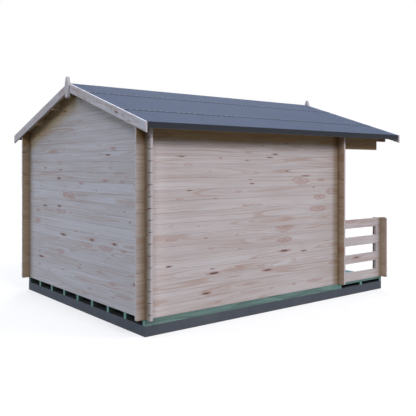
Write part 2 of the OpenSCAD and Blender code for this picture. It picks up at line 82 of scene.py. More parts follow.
class Tree:
    """Short ways to write the nodes of one material or group."""

    def __init__(self, tree):
        self.tree = tree
        tree.nodes.clear()

    def node(self, kind, inputs=None, **settings):
        made = self.tree.nodes.new("ShaderNode" + kind)
        for key, value in settings.items():
            setattr(made, key, value)
        for key, value in (inputs or {}).items():
            self.feed(made.inputs[key], value)
        return made

    def feed(self, socket, value):
        if isinstance(value, bpy.types.NodeSocket):
            self.tree.links.new(value, socket)
        else:
            socket.default_value = value

    def math(self, operation, *values):
        return self.node("Math", dict(enumerate(values)), operation=operation).outputs[0]

    def chain(self, operation, first, others):
        for other in others:
            first = self.math(operation, first, other)
        return first

    def add(self, first, *others):
        return self.chain("ADD", first, others)

    def multiply(self, first, *others):
        return self.chain("MULTIPLY", first, others)

    def greatest(self, first, *others):
        return self.chain("MAXIMUM", first, others)

    def minus(self, a, b):
        return self.math("SUBTRACT", a, b)

    def inverse(self, mask):
        return self.minus(1.0, mask)

    def above(self, value, limit):
        return self.math("GREATER_THAN", value, limit)

    def below(self, value, limit):
        return self.math("LESS_THAN", value, limit)

    def magnitude(self, value):
        return self.math("ABSOLUTE", value)

    def length(self, a, b):
        return self.math("SQRT", self.add(self.multiply(a, a), self.multiply(b, b)))

    def fade(self, value, start, end, most=1.0):
        """0 at start, most at end, smooth between them."""
        return self.node("MapRange", {0: value, 1: start, 2: end, 4: most},
                         interpolation_type="SMOOTHSTEP").outputs[0]

    def scaled(self, vector, scale):
        return self.node("VectorMath", {0: vector, 1: scale}, operation="MULTIPLY").outputs[0]

    def split(self, vector):
        return self.node("SeparateXYZ", {0: vector}).outputs

    def join(self, x=0.0, y=0.0, z=0.0):
        return self.node("CombineXYZ", {0: x, 1: y, 2: z}).outputs[0]

    def place(self):
        """The place in the frame, in metres."""
        return self.node("TexCoord").outputs["Object"]

    def normal(self):
        return self.split(self.node("TexCoord").outputs["Normal"])

    def faces(self, part):
        """1 where a face looks along an axis, from the part of its normal on that axis."""
        return self.above(self.magnitude(part), 0.7)

    def noise(self, vector, scale=1.0, detail=2.0, roughness=0.5):
        return self.node("TexNoise", {"Vector": vector, "Scale": scale, "Detail": detail,
                                      "Roughness": roughness}).outputs[0]

    def mix(self, factor, a, b, blend="MIX"):
        made = self.node("Mix", data_type="RGBA", blend_type=blend)
        for socket, value in zip((made.inputs[0], made.inputs[6], made.inputs[7]),
                                 (factor, a, b)):
            self.feed(socket, value)
        return made.outputs[2]

    def ramp(self, factor, *stops):
        """A colour ramp through (place, colour) stops."""
        made = self.node("ValToRGB", {0: factor})
        elements = made.color_ramp.elements
        while len(elements) < len(stops):
            elements.new(0.5)
        for element, (place, colour) in zip(elements, stops):
            element.position, element.color = place, colour
        return made.outputs[0]


def new_material(name):
    material = bpy.data.materials.new(name)
    material.use_nodes = True
    return material, Tree(material.node_tree)


def surface(t, colour, roughness, height, bump, depth, gloss=0.5, **constants):
    """Ends a material in a Principled shader, with bump from a height from 0 to 1."""
    relief = t.node("Bump", {"Strength": bump, "Distance": depth, "Height": height})
    shader = t.node("BsdfPrincipled", {"Base Color": colour, "Roughness": roughness,
                                       "Specular IOR Level": gloss,
                                       "Normal": relief.outputs[0], **constants})
    t.feed(t.node("OutputMaterial").inputs[0], shader.outputs[0])


# ---------- wood ----------

# Length and width of the cell that holds one knot at most, in metres
KNOT_CELL, KNOT_ROW = 0.40, 0.105
# Shares of the cells: those without a knot, and the knots that are eyes or spikes
BARE_SHARE, EYE_SHARE, SPIKE_FROM = 0.55, 0.28, 0.78
# Width of a growth ring
YEAR = 0.0042


def make_wood_group():
    """Sawn softwood as a solid texture.

    Grain is a place in the board, in metres: along the grain, across the board, through
    the board. Seed differs from board to board. End is 1 on end grain."""
    group = bpy.data.node_groups.new("sawn_softwood", "ShaderNodeTree")
    for name, kind in (("Grain", "NodeSocketVector"), ("Seed", "NodeSocketFloat"),
                       ("End", "NodeSocketFloat")):
        group.interface.new_socket(name, in_out="INPUT", socket_type=kind)
    for name in ("Late", "Band", "Line", "Knot", "Core", "Halo", "Tone", "Fibre"):
        group.interface.new_socket(name, in_out="OUTPUT", socket_type="NodeSocketFloat")
    t = Tree(group)
    given = group.nodes.new("NodeGroupInput")
    seed = given.outputs["Seed"]
    hashed = t.node("TexWhiteNoise", {"W": seed}, noise_dimensions="1D")
    random_a, random_b, random_c = t.split(hashed.outputs["Color"])
    grain = t.split(given.outputs["Grain"])
    along = t.add(grain[0], t.multiply(random_a, 37.0))
    across, through = grain[1], grain[2]

    # Knots: one chance of a knot in each cell of a row along the board
    row = t.add(across, t.multiply(seed, 29.0))
    cell_place = t.join(t.multiply(along, 1 / KNOT_CELL), t.multiply(row, 1 / KNOT_ROW))
    cell = t.node("TexVoronoi", {"Vector": cell_place, "Scale": 1.0, "Randomness": 0.85},
                  voronoi_dimensions="2D")
    knot_place = t.split(cell.outputs["Position"])
    knot_chance, knot_size, knot_kind = t.split(cell.outputs["Color"])
    knot_along = t.add(along, t.multiply(knot_place[0], -KNOT_CELL))
    knot_across = t.add(row, t.multiply(knot_place[1], -KNOT_ROW))
    board_place = t.join(along, row, through)
    ragged = t.noise(t.scaled(board_place, (45.0, 80.0, 60.0)))
    wobble = t.multiply(t.add(ragged, -0.5), 1.1)
    # Most knots are long ovals. Some are larger, only a swirl of rings like an eye. Some are
    # cut along their branch, to a dark spike.
    eye = t.below(knot_kind, EYE_SHARE)
    spike = t.above(knot_kind, SPIKE_FROM)
    size = t.add(0.0035, t.multiply(t.math("POWER", knot_size, 2.0), 0.010))
    size = t.multiply(size, t.add(1.0, t.multiply(eye, 1.5)))
    squeeze = t.add(0.27, t.multiply(spike, -0.11))
    reach = t.math("DIVIDE", t.length(t.multiply(knot_along, squeeze), knot_across), size)
    reach = t.add(reach, wobble)
    present = t.above(knot_chance, BARE_SHARE)
    knot = t.multiply(present, t.fade(reach, 1.15, 0.70),
                      t.greatest(t.fade(knot_kind, 0.25, 0.60), 0.3))
    core = t.multiply(present, t.fade(reach, 0.95, 0.45), t.above(knot_kind, 0.68))
    outer = t.multiply(t.fade(reach, 1.7, 1.2), t.fade(reach, 0.75, 1.1))
    inner = t.multiply(eye, t.fade(t.magnitude(t.add(reach, -0.35)), 0.25, 0.08))
    halo = t.multiply(present, t.greatest(outer, inner))

    # Growth rings round a pith that wanders beside the board, pushed aside by the knots
    wander = t.noise(t.join(t.multiply(along, 0.55), t.multiply(seed, 61.0)), detail=1.0)
    shift = t.split(wander.node.outputs["Color"])
    pith_across = t.add(t.multiply(t.add(random_b, -0.5), 0.10),
                        t.multiply(t.add(shift[0], -0.5), 0.16))
    pith_through = t.add(t.multiply(random_c, 0.05), 0.018,
                         t.multiply(t.add(shift[1], -0.5), 0.07))
    ring = t.length(t.minus(across, pith_across), t.add(through, pith_through))
    flow = t.math("DIVIDE", t.length(t.multiply(knot_along, 0.24), knot_across),
                  t.multiply(size, 1.7))
    swell = t.math("EXPONENT", t.multiply(flow, flow, -1.0))
    swell = t.multiply(swell, present, size, 0.9)
    ripple = t.noise(t.scaled(t.join(along, across, through), (1.6, 14.0, 14.0)))
    ring = t.add(ring, swell, t.multiply(ripple, 0.012))
    year = t.math("FRACT", t.multiply(ring, 1 / YEAR))
    late = t.multiply(t.math("POWER", year, 3.0), t.fade(year, 1.0, 0.93))
    ages = t.noise(t.join(t.multiply(ring, 85.0), t.multiply(seed, 7.0)), roughness=0.7)
    streak = t.noise(t.scaled(board_place, (1.1, 55.0, 55.0)), detail=3.0, roughness=0.65)
    band = t.add(t.multiply(ages, 0.6), t.multiply(streak, 0.4))
    # Thin dark lines where a hard winter left a narrow ring
    hard = t.noise(t.join(t.multiply(ring, 60.0), t.multiply(seed, 3.0),
                          t.multiply(along, 0.35)), detail=1.0)
    line = t.fade(t.magnitude(t.add(hard, -0.5)), 0.035, 0.008)

    blotch = t.noise(t.scaled(board_place, (1.4, 5.0, 5.0)))
    tone = t.add(t.multiply(random_b, 0.25), t.multiply(blotch, 0.75))
    fine = t.noise(t.scaled(board_place, (18.0, 700.0, 700.0)), detail=1.0)
    pores = t.noise(t.scaled(board_place, (900.0, 900.0, 900.0)), detail=1.0)
    fibre = t.mix(given.outputs["End"], fine, pores)

    out = group.nodes.new("NodeGroupOutput")
    for name, value in (("Late", late), ("Band", band), ("Line", line), ("Knot", knot),
                        ("Core", core), ("Halo", halo), ("Tone", tone), ("Fibre", fibre)):
        t.feed(out.inputs[name], value)
    return group


WOOD = make_wood_group()


def paint_wood(t, grain, seed, end, look, shades=None):
    """Colours a wood from its grain.

    look holds the colours and the strength of the figure. shades holds a mask for each
    colour of the look that the wood is multiplied by in some places."""
    figure = t.tree.nodes.new("ShaderNodeGroup")
    figure.node_tree = WOOD
    for name, value in (("Grain", grain), ("Seed", seed), ("End", end)):
        t.feed(figure.inputs[name], value)
    late, band, line, knot, core, halo, tone, fibre = figure.outputs
    colour = t.mix(t.fade(tone, 0.3, 0.7), look["pale"], look["deep"])
    for name, mask, strength in (("streak", t.fade(band, 0.49, 0.63), look["bands"]),
                                 ("bleached", t.fade(band, 0.47, 0.34), look["bands"]),
                                 ("line", line, look["lines"]), ("line", late, look["rings"]),
                                 ("halo", halo, 0.6), ("knot", knot, 0.65),
                                 ("core", core, 0.9), ("line", fibre, 0.10)):
        colour = t.mix(t.multiply(mask, strength), colour, look[name])
    # Faces that look upward are lighter: partly wood bleached by the weather, partly a painted
    # highlight
    colour = t.mix(t.fade(t.normal()[2], 0.5, 0.9, 0.8), colour, look["top_bleach_and_highlight"])
    end_colour = t.mix(t.multiply(late, 0.55), look["end"], look["line"])
    end_colour = t.mix(t.multiply(fibre, 0.18), end_colour, look["knot"])
    colour = t.mix(end, colour, end_colour)
    for name, mask in (shades or {}).items():
        colour = t.mix(mask, colour, look[name], blend="MULTIPLY")
    roughness = t.add(look["roughness"], t.multiply(late, -0.08), t.multiply(fibre, 0.1))
    height = t.add(t.multiply(fibre, 0.5), t.multiply(late, -0.5), t.multiply(knot, 0.6))
    surface(t, colour, roughness, height, bump=0.35, depth=0.0006, gloss=0.3)


SPRUCE = {
    "pale": linear(187, 182, 184), "deep": linear(176, 168, 169),
    "streak": linear(166, 149, 140), "bleached": linear(197, 198, 202),
    "line": linear(152, 124, 110), "halo": linear(156, 122, 114),
    "knot": linear(142, 106, 96), "core": linear(62, 47, 46),
    "end": linear(184, 180, 184), "top_bleach_and_highlight": linear(194, 194, 200),
    "shelter": linear(190, 173, 142), "honey": linear(215, 193, 143),
    "grime": linear(196, 192, 182), "groove": linear(120, 110, 100),
    "paler": (1.22, 1.20, 1.19, 1.0), "warm": (1.15, 1.02, 0.88, 1.0),
    "amber": (1.0, 0.80, 0.62, 1.0),
    "bands": 0.6, "lines": 0.45, "rings": 0.3, "roughness": 0.62,
}
# The end walls' logs are greyer and bluer: partly wood silvered by the weather, partly a
# painted tint of the cool shade on the rear wall
SILVERED_COOL_SHADE = {**SPRUCE, "pale": linear(180, 181, 188), "deep": linear(170, 169, 174),
            "streak": linear(161, 151, 149), "bleached": linear(189, 195, 205)}
PLANED = {**SPRUCE, "pale": linear(175, 177, 185), "deep": linear(163, 163, 170),
          "streak": linear(158, 148, 146), "bleached": linear(190, 193, 202),
          "top_bleach_and_highlight": linear(226, 231, 242), "resin": (0.84, 0.74, 0.68, 1.0)}
FRESH = {**SPRUCE, "pale": linear(192, 172, 146), "deep": linear(176, 152, 124),
         "streak": linear(160, 130, 100), "bleached": linear(204, 188, 164),
         "line": linear(150, 112, 82), "halo": linear(160, 118, 88),
         "knot": linear(138, 94, 66), "core": linear(84, 56, 42),
         "end": linear(168, 146, 120), "top_bleach_and_highlight": linear(196, 176, 150)}
TREATED = {
    "pale": linear(106, 134, 128), "deep": linear(90, 116, 112),
    "streak": linear(76, 98, 94), "bleached": linear(118, 152, 148),
    "line": linear(66, 86, 78), "halo": linear(72, 80, 66),
    "knot": linear(64, 66, 56), "core": linear(42, 42, 38),
    "end": linear(100, 140, 134), "top_bleach_and_highlight": linear(94, 151, 167),
    "darker": (0.16, 0.17, 0.16, 1.0),
    "bands": 0.8, "lines": 0.4, "rings": 0.4, "roughness": 0.7,
}


# Where the darker strip beside a joint begins, from the middle line of a log
STRIP_FROM = LOG_HEIGHT / 2 - 0.0045
# Higher than the rails and lower than the logs over the porch
OVER_RAILS_Z = 1.5
# Where the outermost part of the log ends begins
OUTERMOST_X = HALF_WIDTH + 0.055


def log_place(t, grain_axis, creases):
    """Where a point lies on its log, as node sockets. Each course is a log of its own."""
    at = SimpleNamespace()
    at.x, at.y, at.z = t.split(t.place())
    nx, ny, _ = t.normal()
    # The end walls' joints lie half a course from the side walls'
    course = t.add(t.multiply(t.add(at.z, -WALL_Z), 1 / LOG_HEIGHT),
                   0.5 if grain_axis == "X" else 0.0)
    number = t.math("FLOOR", course)
    at.across = t.multiply(t.add(t.math("FRACT", course), -0.5), LOG_HEIGHT)
    if grain_axis == "X":
        at.along, through, end_normal, face_normal = at.x, at.y, nx, ny
        middle = REAR_FACE_Y - HALF_LOG
        at.past = t.above(t.magnitude(at.x), HALF_WIDTH)
    else:
        at.along, through, end_normal, face_normal = at.y, at.x, ny, nx
        middle = HALF_WIDTH - HALF_LOG
        at.past = t.greatest(t.above(at.y, REAR_FACE_Y), t.below(at.y, POST_FACE_Y))
    side = t.math("SIGN", through)
    at.seed = t.add(t.multiply(number, 0.618), t.multiply(side, 0.271))
    at.depth = t.add(t.magnitude(through), -middle)
    at.end = t.faces(end_normal)
    at.inside = t.above(t.multiply(face_normal, side, -1.0), 0.5)
    at.rear = t.above(at.y, 0.0)
    at.over_porch = t.multiply(t.below(at.y, FRONT_FACE_Y - 0.005), t.above(at.z, OVER_RAILS_Z))

    # Distances below the roof, made uneven, and from the nearest wall that crosses
    uneven = t.noise(t.scaled(t.place(), (3.0, 3.0, 3.0)))
    roof_z = t.add(ROOF_UNDER_Z, t.multiply(t.magnitude(at.x), -math.tan(ROOF_PITCH)))
    at.under_roof = t.add(t.minus(roof_z, at.z), t.multiply(t.add(uneven, -0.5), 0.05))
    distances = [t.magnitude(t.add(at.along, -crease)) for crease in creases]
    at.from_crease = t.add(t.chain("MINIMUM", distances[0], distances[1:]), -HALF_LOG)

    at.groove = t.fade(t.magnitude(at.across), STRIP_FROM, STRIP_FROM + 0.0020, 0.12)
    # Painted shade on the outer faces of the log ends, deepest by the crease, partly a browner
    # tint of the wood
    at.on_end = t.multiply(at.past, t.inverse(at.inside),
                           t.add(0.4, t.fade(at.from_crease, 0.10, 0.0, 0.6)))
    # Painted shade by the crease where a crossing wall stands
    at.in_crease = t.fade(at.from_crease, 0.07, 0.0, 0.35)
    return at


def shades_across(t, at):
    """Masks of the shades on the logs of the end walls, the gables and the porch posts: painted
    shade and shadow in creases, on log ends, under the roof and over the porch, partly browner
    wood, and dark joints.
    """
    # The photo shows the +X half of the rear gable browner under the roof: partly browner wood,
    # partly its shadow, painted here. How much of each can't be told from it
    plus_x_half = t.fade(at.x, -0.1, 0.1)
    # Painted shadow under the roof, partly browner wood that the roof keeps from the weather
    under_eaves = t.greatest(t.fade(at.under_roof, 0.25, 0.09, 0.3),
                             t.multiply(plus_x_half, t.fade(at.under_roof, 0.36, 0.14)))
    cover = t.greatest(under_eaves, at.over_porch)
    # Painted shade under the roof and high on the gables
    roof_shade = t.greatest(t.multiply(plus_x_half, t.fade(at.under_roof, 0.65, 0.35, 0.32)),
                      t.fade(at.z, 1.9, 2.25, 0.24))
    post = t.below(at.y, FRONT_FACE_Y - 0.1)
    # Painted shade in the corner where a crossing wall stands
    in_corner = t.greatest(t.fade(at.from_crease, 0.06, 0.0, 0.8),
                           t.fade(at.from_crease, 0.18, 0.03, 0.3))
    # Inward faces, the inner faces of the log ends among them, are browner: partly wood the
    # weather doesn't reach, partly painted shade
    inner_share = t.add(0.5, t.multiply(at.rear, -0.2))
    # Painted shade in the outermost end of each joint of the rear logs, where the joint opens
    notch_shade = t.multiply(t.above(t.magnitude(at.x), OUTERMOST_X),
                       t.above(t.magnitude(at.across), STRIP_FROM), at.rear)
    return {
        "shelter": t.greatest(t.multiply(in_corner, t.inverse(post)), at.on_end),
        "honey": t.greatest(cover, t.multiply(at.inside, inner_share)),
        "warm": t.multiply(t.inverse(at.rear), t.inverse(cover)),
        "grime": t.greatest(t.multiply(at.in_crease, at.past), t.multiply(at.over_porch, 0.5),
                            roof_shade),
        "groove": t.greatest(at.groove, notch_shade),
    }


def shades_along(t, at):
    """Masks of the shades on the logs of the side walls and the rails: painted shade and shadow
    in creases, on log ends, under the eaves and over the porch, partly browner wood, painted
    light by the rear corner, and dark joints.
    """
    # Painted shadow under the eaves and over the porch, partly browner wood
    cover = t.greatest(t.fade(at.under_roof, 0.255, 0.155), at.over_porch)
    # Painted shade under the eaves
    roof_shade = t.fade(at.under_roof, 0.32, 0.22, 0.15)
    # Painted shade in the creases, and on the inward faces of the log ends past the rear wall
    crease_shade = t.add(at.in_crease, t.multiply(at.inside, at.rear, 0.45))
    # Painted light and shade, as in the photo: lighter by the rear corner, browner and darker
    # by the porch's crease
    by_porch = t.greatest(t.fade(at.from_crease, 0.17, 0.0, 0.95),
                          t.fade(at.from_crease, 0.55, 0.10, 0.15))
    by_porch = t.greatest(t.multiply(by_porch, t.above(at.y, FRONT_FACE_Y)),
                          t.fade(at.from_crease, 0.06, 0.0, 0.8))
    by_rear = t.multiply(at.rear, t.fade(at.from_crease, 0.32, 0.0))
    red = t.noise(t.scaled(t.join(at.along, at.across, at.depth), (2.5, 40.0, 40.0)))
    return {
        "shelter": t.greatest(t.multiply(by_porch, t.inverse(at.rear)), at.on_end),
        "honey": t.greatest(cover, t.multiply(at.inside, 0.7)),
        "amber": t.multiply(cover, t.fade(red, 0.48, 0.62, 0.6)),
        "grime": t.greatest(t.multiply(crease_shade, at.past), t.multiply(at.over_porch, 0.5), roof_shade),
        "groove": at.groove,
        "paler": t.multiply(by_rear, t.inverse(at.past), t.inverse(cover)),
    }


def log_material(name, look, grain_axis, creases):
    """Wood of the logs of the walls that run one way.

    Covered places are browner and darker, as the photo shows them: partly browner wood, partly
    painted shade and shadow in creases, on log ends, under the eaves and over the porch; by the
    rear corner the side walls are painted lighter. creases are the middle planes of the walls
    that cross these."""
    material, t = new_material(name)
    at = log_place(t, grain_axis, creases)
    shades = (shades_across if grain_axis == "X" else shades_along)(t, at)
    # Painted shade is mostly left off the end grain
    shade_off_end_grain = t.add(1.0, t.multiply(at.end, -0.85))
    shades = {name: t.multiply(mask, shade_off_end_grain) for name, mask in shades.items()}
    paint_wood(t, t.join(at.along, at.across, at.depth), at.seed, at.end, look, shades)
    return material


LOGS_ALONG_X = log_material("spruce_logs_across", SILVERED_COOL_SHADE, "X",
                            (-HALF_WIDTH + HALF_LOG, HALF_WIDTH - HALF_LOG))
LOGS_ALONG_Y = log_material("spruce_logs_along", SPRUCE, "Y",
                            (POST_FACE_Y + HALF_LOG, FRONT_FACE_Y + HALF_LOG,
                             REAR_FACE_Y - HALF_LOG))


def board_material(name, look, stained=False):
    """Wood of boards that carry their own grain: the attributes grain, seed and end.

    Stained boards have reddish patches of resin."""
    material, t = new_material(name)
    grain = t.node("Attribute", attribute_name="grain").outputs["Vector"]
    seed = t.node("Attribute", attribute_name="seed").outputs["Fac"]
    end = t.node("Attribute", attribute_name="end").outputs["Fac"]
    shades = {}
    if stained:
        resin = t.noise(t.scaled(grain, (7.0, 26.0, 26.0)))
        shades["resin"] = t.fade(resin, 0.55, 0.70)
    paint_wood(t, grain, seed, end, look, shades)
    return material


PLANED_BOARDS = board_material("planed_spruce", PLANED, stained=True)
FINIAL_WOOD = board_material("finial_spruce", PLANED)
DOOR_BOARDS = board_material("door_spruce", FRESH)
ROOF_BOARDS = board_material("sawn_spruce_boards", FRESH)
TREATED_BOARDS = board_material("treated_boards", TREATED)


def beam_material(name, look, order, outside=None):
    """Wood of plain beams. order names the axes that run along, across and through.

    Where outside is given, all but the faces that lie that far out, along and across, are
    darkened by a painted shadow, as dark as the photo's slots."""
    material, t = new_material(name)
    parts = dict(zip("XYZ", t.split(t.place())))
    normals = dict(zip("XYZ", t.normal()))
    seed = t.math("FLOOR", t.multiply(parts[order[1]], 4.0))
    end = t.faces(normals[order[0]])
    shades = {}
    if outside:
        far, wide = (t.above(t.magnitude(parts[axis]), distance)
                     for axis, distance in zip(order, outside))
        flank = t.faces(normals[order[1]])
        outer = t.greatest(t.multiply(far, end), t.multiply(wide, flank))
        # Painted shadow on the faces under the floor
        shades = {"darker": t.inverse(outer)}
    grain = t.join(*(parts[axis] for axis in order))
    paint_wood(t, grain, t.multiply(seed, 0.37), end, look, shades)
    return material


PURLIN_WOOD = beam_material("purlin_spruce", FRESH, "YXZ")
BEARER_WOOD = beam_material("treated_bearers", TREATED, "YXZ",
                            (REAR_FACE_Y - 0.01, HALF_WIDTH - 0.01))
CROSS_BEARER_WOOD = beam_material("treated_cross_bearers", TREATED, "XYZ",
                                  (HALF_WIDTH - 0.01, REAR_FACE_Y - 0.01))


def frame_material():
    """Wood of the door frame: upright grain in the jambs, level grain in head and sill."""
    material, t = new_material("door_frame_spruce")
    x, y, z = t.split(t.place())
    nx, _, nz = t.normal()
    jamb = t.above(t.magnitude(x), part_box("right_door")[1].x + 0.003)
    low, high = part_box("door_frame")
    upper = t.above(z, (low.z + high.z) / 2)

    def of_part(upright, level):
        return t.add(t.multiply(upright, jamb), t.multiply(level, t.inverse(jamb)))

    grain = t.join(of_part(z, x), of_part(t.magnitude(x), z), y)
    seed = t.add(t.multiply(t.math("SIGN", x), t.multiply(jamb, 1.3)), t.multiply(upper, 0.4))
    end = t.faces(of_part(nz, nx))
    paint_wood(t, grain, seed, end, FRESH)
    return material


# ---------- felt, plinth, glass, steel ----------


def felt_material():
    material, t = new_material("mineral_felt")
    place = t.place()
    granules = t.node("TexVoronoi", {"Vector": place, "Scale": 420.0})
    grit = t.split(granules.outputs["Color"])[0]
    clouds = t.noise(t.scaled(place, (1.2, 2.2, 1.2)), detail=4.0, roughness=0.6)
    streaks = t.noise(t.scaled(place, (2.0, 14.0, 2.0)))
    colour = t.ramp(grit, (0.0, linear(56, 66, 88)), (0.55, linear(69, 81, 105)),
                    (1.0, linear(86, 99, 123)))
    colour = t.mix(t.fade(clouds, 0.4, 0.65, 0.25), colour, linear(63, 74, 97))
    colour = t.mix(t.fade(streaks, 0.5, 0.7, 0.18), colour, linear(80, 92, 115))
    # Bitumen squeezed out along each lap, and a painted shadow under the lap's edge
    across = t.magnitude(t.split(place)[0])
    bleed = t.noise(t.scaled(place, (1.0, 30.0, 1.0)), detail=3.0)
    reach = t.add(0.004, t.multiply(bleed, 0.010))
    for lap in LAPS_X:
        from_lap = t.magnitude(t.add(across, -lap - 0.002))
        bitumen_and_shadow = t.below(from_lap, reach)
        colour = t.mix(t.multiply(bitumen_and_shadow, 0.55), colour, linear(58, 62, 72))
    apron = t.fade(t.magnitude(t.normal()[2]), 0.6, 0.4)
    colour = t.mix(apron, colour, linear(46, 49, 54))
    height = t.inverse(granules.outputs["Distance"])
    surface(t, colour, 0.9, height, bump=0.4, depth=0.0008, gloss=0.2)
    return material


def plinth_material():
    material, t = new_material("slate_faced_concrete")
    place = t.place()
    stains = t.noise(place, scale=3.0, detail=5.0, roughness=0.6)
    grains = t.noise(place, scale=160.0, detail=3.0, roughness=0.7)
    pits = t.node("TexVoronoi", {"Vector": place, "Scale": 90.0})
    colour = t.ramp(stains, (0.3, linear(60, 65, 75)), (0.5, linear(68, 73, 82)),
                    (0.72, linear(77, 81, 89)))
    colour = t.mix(t.fade(grains, 0.45, 0.75, 0.35), colour, linear(88, 92, 98))
    hole = t.fade(pits.outputs["Distance"], 0.16, 0.05)
    colour = t.mix(t.multiply(hole, 0.5), colour, linear(44, 47, 53))
    # Soil along the foot
    x, y, z = t.split(place)
    low = t.fade(t.add(z, t.multiply(stains, 0.04)), 0.045, 0.02, 0.35)
    colour = t.mix(low, colour, linear(84, 78, 70))
    # Painted shadow on the top under the floor, as dark as the photo's slots
    under = t.multiply(t.below(t.magnitude(x), HALF_WIDTH - 0.004),
                       t.below(t.magnitude(y), REAR_FACE_Y - 0.004),
                       t.above(z, PLINTH_HIGH.z - 0.004))
    colour = t.mix(under, colour, (0.15, 0.15, 0.15, 1.0), blend="MULTIPLY")
    height = t.add(t.multiply(grains, 0.6), t.multiply(hole, -0.6))
    roughness = t.add(0.78, t.multiply(stains, 0.15))
    surface(t, colour, roughness, height, bump=0.4, depth=0.001, gloss=0.3)
    return material


def steel_material():
    material, t = new_material("zinc_plated_steel")
    place = t.place()
    spangle = t.node("TexVoronoi", {"Vector": place, "Scale": 260.0})
    brushed = t.noise(t.scaled(place, (60.0, 60.0, 900.0)))
    colour = t.ramp(t.split(spangle.outputs["Color"])[0], (0.0, (0.42, 0.43, 0.44, 1.0)),
                    (1.0, (0.62, 0.62, 0.61, 1.0)))
    roughness = t.add(0.28, t.multiply(brushed, 0.2))
    surface(t, colour, roughness, brushed, bump=0.1, depth=0.0003, Metallic=1.0)
    return material


# Painted shade that fills the keyholes
def keyhole_material():
    material, t = new_material("keyhole_shadow")
    shadow_speckle = t.noise(t.place(), scale=900.0)
    colour = t.ramp(shadow_speckle, (0.3, linear(14, 13, 12)), (0.7, linear(30, 28, 26)))
    surface(t, colour, t.add(0.7, t.multiply(shadow_speckle, 0.2)), shadow_speckle, bump=0.2, depth=0.0002)
    return material


def glass_material():
    material, t = new_material("float_glass")
    dust = t.noise(t.scaled(t.place(), (7.0, 7.0, 3.0)), detail=4.0)
    colour = t.ramp(dust, (0.4, (0.90, 0.95, 0.94, 1.0)),
                    (0.8, (0.84, 0.90, 0.89, 1.0)))
    roughness = t.fade(dust, 0.45, 0.8, 0.06)
    surface(t, colour, roughness, dust, bump=0.02, depth=0.0005,
            **{"Transmission Weight": 1.0, "IOR": 1.45})
    return material


FELT = felt_material()
PLINTH = plinth_material()
STEEL = steel_material()
GLASS = glass_material()

MATERIALS = {
    PLINTH: ("base_plinth",),
    BEARER_WOOD: ("room_bearers",),
    CROSS_BEARER_WOOD: ("porch_bearers",),
    LOGS_ALONG_X: ("rear_wall_logs", "rear_gable", "front_wall_full_logs",
                   "front_wall_left_logs", "front_wall_right_logs", "front_gable",
                   "left_rail_post", "right_rail_post"),
    LOGS_ALONG_Y: ("left_wall_logs", "left_rail_logs", "left_eaves_logs", "right_wall_logs",
                   "right_rail_logs", "right_eaves_logs", "left_rail_spacers",
                   "right_rail_spacers"),
    PURLIN_WOOD: ("ridge_purlin", "left_purlins", "right_purlins"),
    FELT: ("left_eaves_felt", "right_eaves_felt", "left_middle_felt", "right_middle_felt",
           "ridge_felt"),
    frame_material(): ("door_frame",),
    GLASS: ("door_glass",),
    STEEL: ("door_hinges",),
}
for material, node_names in MATERIALS.items():
    for node_name in node_names:
        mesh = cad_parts[node_name].data
        mesh.materials.clear()
        mesh.materials.append(material)


# ---------- pieces made here ----------


class Piece:
    """Solids gathered in one mesh, which rides on the cabin."""

    def __init__(self, name, slot, material):
        self.name, self.slot, self.material = name, slot, material
        self.bm = bmesh.new()

    def finish(self, *replaced):
        mesh = bpy.data.meshes.new(self.name)
        bmesh.ops.recalc_face_normals(self.bm, faces=self.bm.faces)
        self.bm.to_mesh(mesh)
        self.bm.free()
        mesh.materials.append(self.material)
        made = bpy.data.objects.new(self.name, mesh)
        bpy.context.scene.collection.objects.link(made)
        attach(made, "root")
        if replaced:
            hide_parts(*replaced)
        return made

    def skin(self, rings):
        """A closed solid through rings of points."""
        loops = [[self.bm.verts.new(point) for point in ring] for ring in rings]
        count = len(loops[0])
        faces = [self.bm.faces.new(list(reversed(loops[0]))), self.bm.faces.new(loops[-1])]
        for low, high in zip(loops, loops[1:]):
            for i in range(count):
                j = (i + 1) % count
                faces.append(self.bm.faces.new((low[i], low[j], high[j], high[i])))
        return loops, faces

    def turned(self, profile, placed, sides=12):
        """A solid of revolution round Z from (radius, height) steps."""
        rings = []
        for radius, height in profile:
            angles = (2 * math.pi * i / sides for i in range(sides))
            rings.append([placed @ Vector((radius * math.cos(a), radius * math.sin(a), height))
                          for a in angles])
        _, faces = self.skin(rings)
        for face in faces[2:]:
            face.smooth = True

    def rod(self, points, radii, sides=14):
        """A bent rod of changing thickness, on a path that keeps to one height."""
        points = [Vector(p) for p in points]
        rings = []
        for i, point in enumerate(points):
            before, after = points[max(i - 1, 0)], points[min(i + 1, len(points) - 1)]
            across = (after - before).normalized().cross(Z_AXIS)
            angles = (2 * math.pi * k / sides for k in range(sides))
            rings.append([point + (across * math.cos(a) + Z_AXIS * math.sin(a)) * radii[i]
                          for a in angles])
        _, faces = self.skin(rings)
        for face in faces[2:]:
            face.smooth = True


